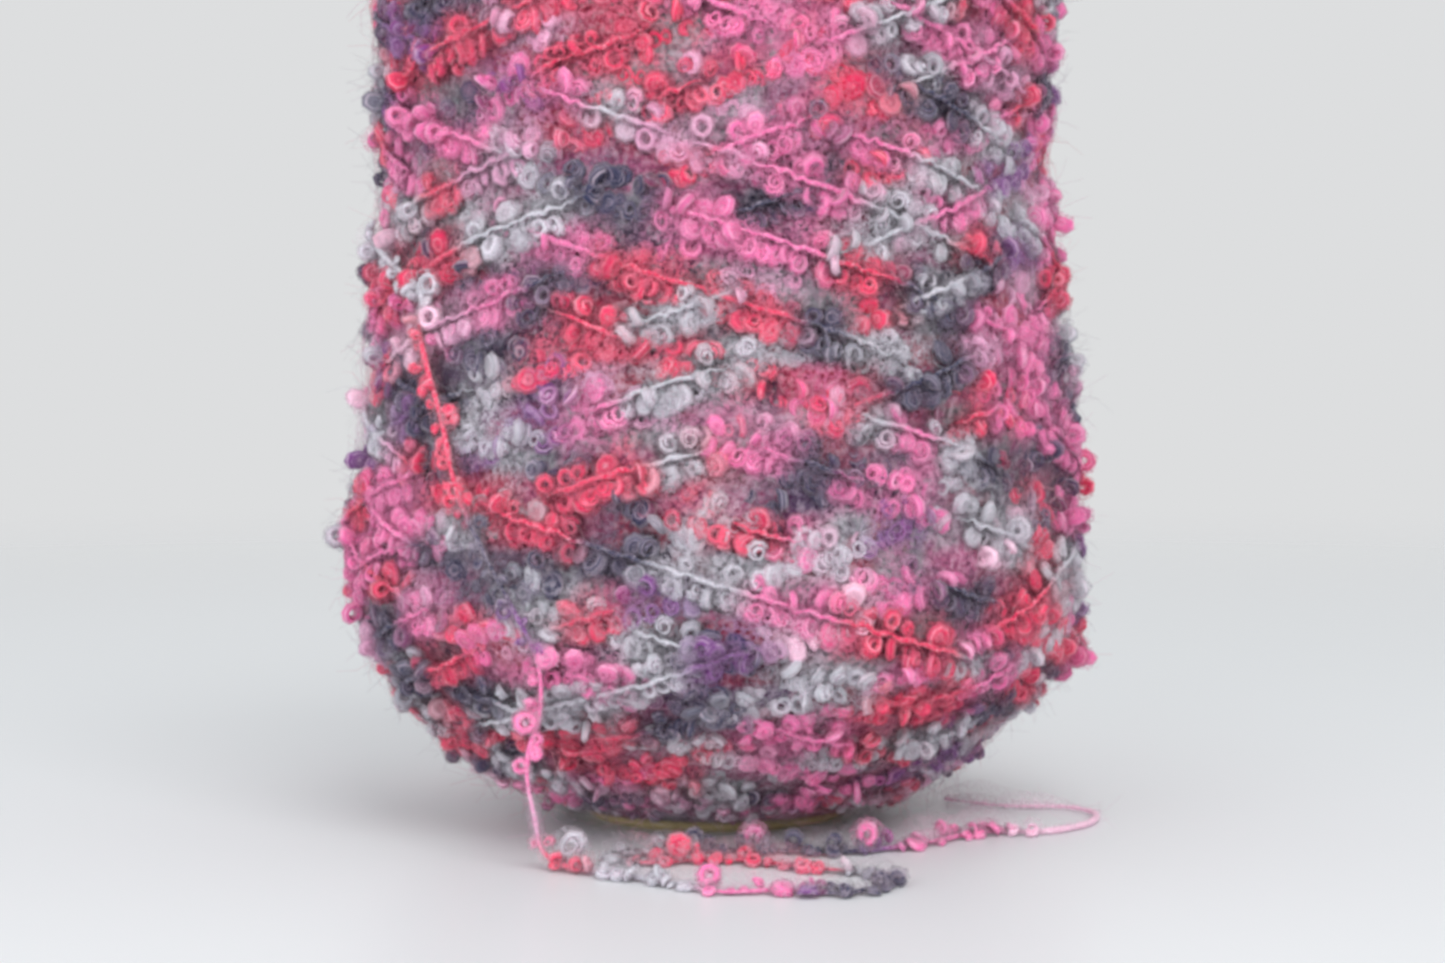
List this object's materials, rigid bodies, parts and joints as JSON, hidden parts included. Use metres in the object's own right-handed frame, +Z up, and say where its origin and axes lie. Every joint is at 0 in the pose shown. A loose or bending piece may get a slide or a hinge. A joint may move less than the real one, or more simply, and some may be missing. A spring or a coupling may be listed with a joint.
{
  "type": "cone of mohair boucle yarn",
  "caption": "Tapered cone of space-dyed mohair boucle yarn wound on a paper tube, standing on its base, with its loose end down the front and along the surface.",
  "frame": {"origin": "middle of the tube's base, on the surface the cone stands on", "axes": "+Z up along the tube's axis to its nose, -Y to the front where the loose end hangs, +X to the right seen from the front"},
  "size_m": [0.1811, 0.2009, 0.23],
  "materials": {
    "mohair": "fuzzy looped mohair dyed in runs of scarlet, pink, pale grey, slate and purple",
    "cardboard": "matte olive-brown paper tube"
  },
  "bodies": {
    "root": {"wound_yarn": "mohair", "paper_tube": "cardboard", "loose_end": "mohair"}
  },
  "joints": []
}
